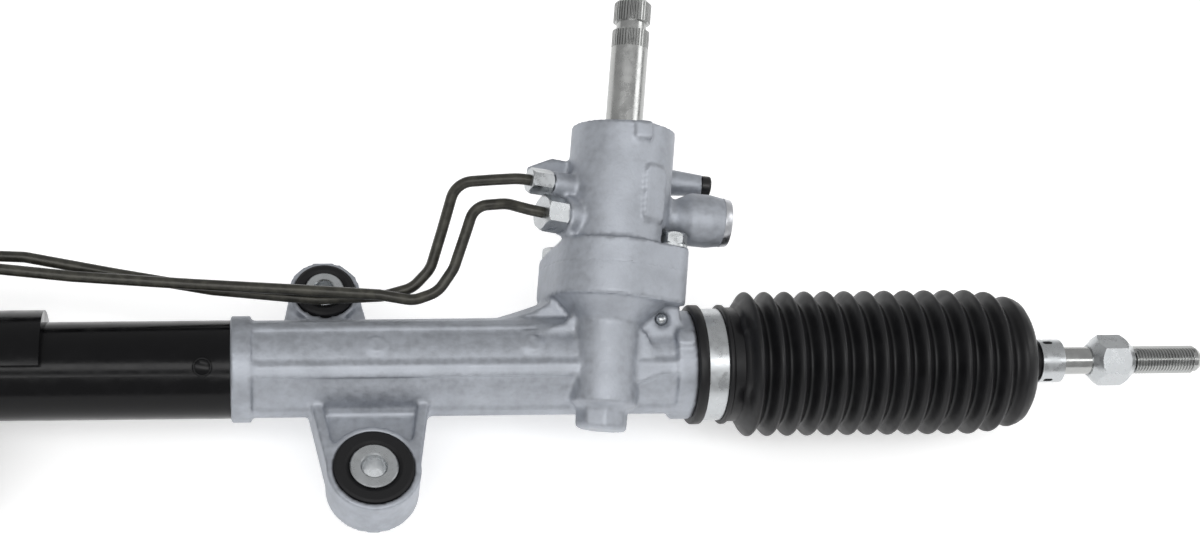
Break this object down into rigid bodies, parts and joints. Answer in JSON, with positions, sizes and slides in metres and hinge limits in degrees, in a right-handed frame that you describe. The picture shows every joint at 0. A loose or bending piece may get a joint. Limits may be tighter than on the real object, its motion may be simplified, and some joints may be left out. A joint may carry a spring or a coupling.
{
  "type": "steering rack",
  "caption": "Hydraulic power steering rack: alloy gear and valve housings, black cylinder tube with pipes, bellows and threaded inner tie rods.",
  "frame": {"origin": "middle of the front mounting bush of the gear housing, half way along its steel sleeve", "axes": "+X along the rack towards the pinion end, +Z along the mounting bolts and out of the side that the valve is on, +Y towards the rear bush"},
  "size_m": [1.096, 0.2426, 0.1557],
  "materials": {
    "cast_aluminium": "matt die-cast skin",
    "guide_alloy": "machined",
    "machined_steel": "turned and ground",
    "zinc_steel": "bright zinc plate",
    "spring_steel": "oiled spring wire",
    "bearing_bronze": "sintered bronze",
    "black_paint": "gloss black paint",
    "pipe_coating": "dark olive-grey coating",
    "bellows_rubber": "satin",
    "bush_rubber": "matt",
    "seal_rubber": "matt",
    "black_plastic": "satin",
    "seat_plastic": "natural nylon"
  },
  "bodies": {
    "housing": {"gear_housing": "cast_aluminium", "valve_housing": "cast_aluminium", "valve_housing_bolts": "zinc_steel", "housing_seal": "seal_rubber", "gallery_ball_plug": "machined_steel", "rack_guide": "guide_alloy", "rack_guide_spring": "spring_steel", "rack_guide_plug": "zinc_steel", "rack_guide_lock_nut": "zinc_steel", "pinion_lower_bearing": "bearing_bronze", "pinion_upper_bearing": "machined_steel", "pinion_bearing_nut": "machined_steel", "input_shaft_bearing": "machined_steel", "input_shaft_seal": "seal_rubber", "input_shaft_snap_ring": "machined_steel", "return_port_plug": "black_plastic", "rack_bushing": "bearing_bronze", "rod_guide": "guide_alloy", "rod_seal": "seal_rubber", "cylinder_tube": "black_paint", "cylinder_end_cap": "cast_aluminium", "cylinder_end_seal": "seal_rubber", "cylinder_bracket": "black_paint", "upper_pipe": "pipe_coating", "lower_pipe": "pipe_coating", "upper_pipe_nut": "zinc_steel", "lower_pipe_nut": "zinc_steel", "cylinder_pipe_nuts": "zinc_steel", "front_bush_rubber": "bush_rubber", "front_bush_sleeve": "zinc_steel", "rear_bush_rubber": "bush_rubber", "rear_bush_sleeve": "zinc_steel", "cylinder_front_bush_rubber": "bush_rubber", "cylinder_front_bush_sleeve": "zinc_steel", "cylinder_rear_bush_rubber": "bush_rubber", "cylinder_rear_bush_sleeve": "zinc_steel", "bellows_right": "bellows_rubber", "bellows_left": "bellows_rubber", "bellows_clamp_right": "zinc_steel", "bellows_clamp_left": "zinc_steel"},
    "rack": {"rack_bar": "machined_steel", "piston": "machined_steel", "piston_ring": "seat_plastic", "ball_socket_right": "machined_steel", "ball_socket_left": "machined_steel", "stop_washer_right": "machined_steel", "stop_washer_left": "machined_steel"},
    "pinion": {"pinion": "machined_steel", "valve_sleeve": "machined_steel", "valve_sleeve_rings": "seat_plastic"},
    "input_shaft": {"input_shaft": "machined_steel", "torsion_bar": "machined_steel"},
    "ball_seat_right": {"ball_seat_right": "seat_plastic"},
    "ball_seat_left": {"ball_seat_left": "seat_plastic"},
    "tie_rod_right": {"tie_rod_right": "machined_steel", "lock_nut_right": "machined_steel", "neck_clamp_right": "zinc_steel"},
    "tie_rod_left": {"tie_rod_left": "machined_steel", "lock_nut_left": "machined_steel", "neck_clamp_left": "zinc_steel"}
  },
  "joints": [
    {"name": "rack_slide", "type": "slide", "parent": "housing", "child": "rack", "axis": [1, 0, 0], "range_m": [-0.072, 0.072], "deforming": ["bellows_right", "bellows_left"]},
    {"name": "pinion_spin", "type": "hinge", "parent": "housing", "child": "pinion", "pos_m": [0.1155, 0.05265, 0.02014], "axis": [0.1132, 0.8892, 0.4433], "range_deg": [-512.9, 512.9]},
    {"name": "valve_twist", "type": "hinge", "parent": "pinion", "child": "input_shaft", "pos_m": [0.1155, 0.05265, 0.02014], "axis": [0.1132, 0.8892, 0.4433], "range_deg": [-4, 4], "stiffness_Nm_per_rad": 60},
    {"name": "right_tie_rod_bounce", "type": "hinge", "parent": "rack", "child": "ball_seat_right", "pos_m": [0.2585, 0.0597, 0.006], "axis": [0, 1, 0], "range_deg": [-18, 18], "deforming": ["bellows_right"]},
    {"name": "right_tie_rod_steer", "type": "hinge", "parent": "ball_seat_right", "child": "tie_rod_right", "pos_m": [0.2585, 0.0597, 0.006], "axis": [0, 0, 1], "range_deg": [-8, 8], "deforming": ["bellows_right"]},
    {"name": "left_tie_rod_bounce", "type": "hinge", "parent": "rack", "child": "ball_seat_left", "pos_m": [-0.5235, 0.0597, 0.006], "axis": [0, 1, 0], "range_deg": [-18, 18], "deforming": ["bellows_left"]},
    {"name": "left_tie_rod_steer", "type": "hinge", "parent": "ball_seat_left", "child": "tie_rod_left", "pos_m": [-0.5235, 0.0597, 0.006], "axis": [0, 0, 1], "range_deg": [-8, 8], "deforming": ["bellows_left"]}
  ],
  "couplings": [
    {"joint": "pinion_spin", "follows": "rack_slide", "rad_per_m": -124.2}
  ]
}
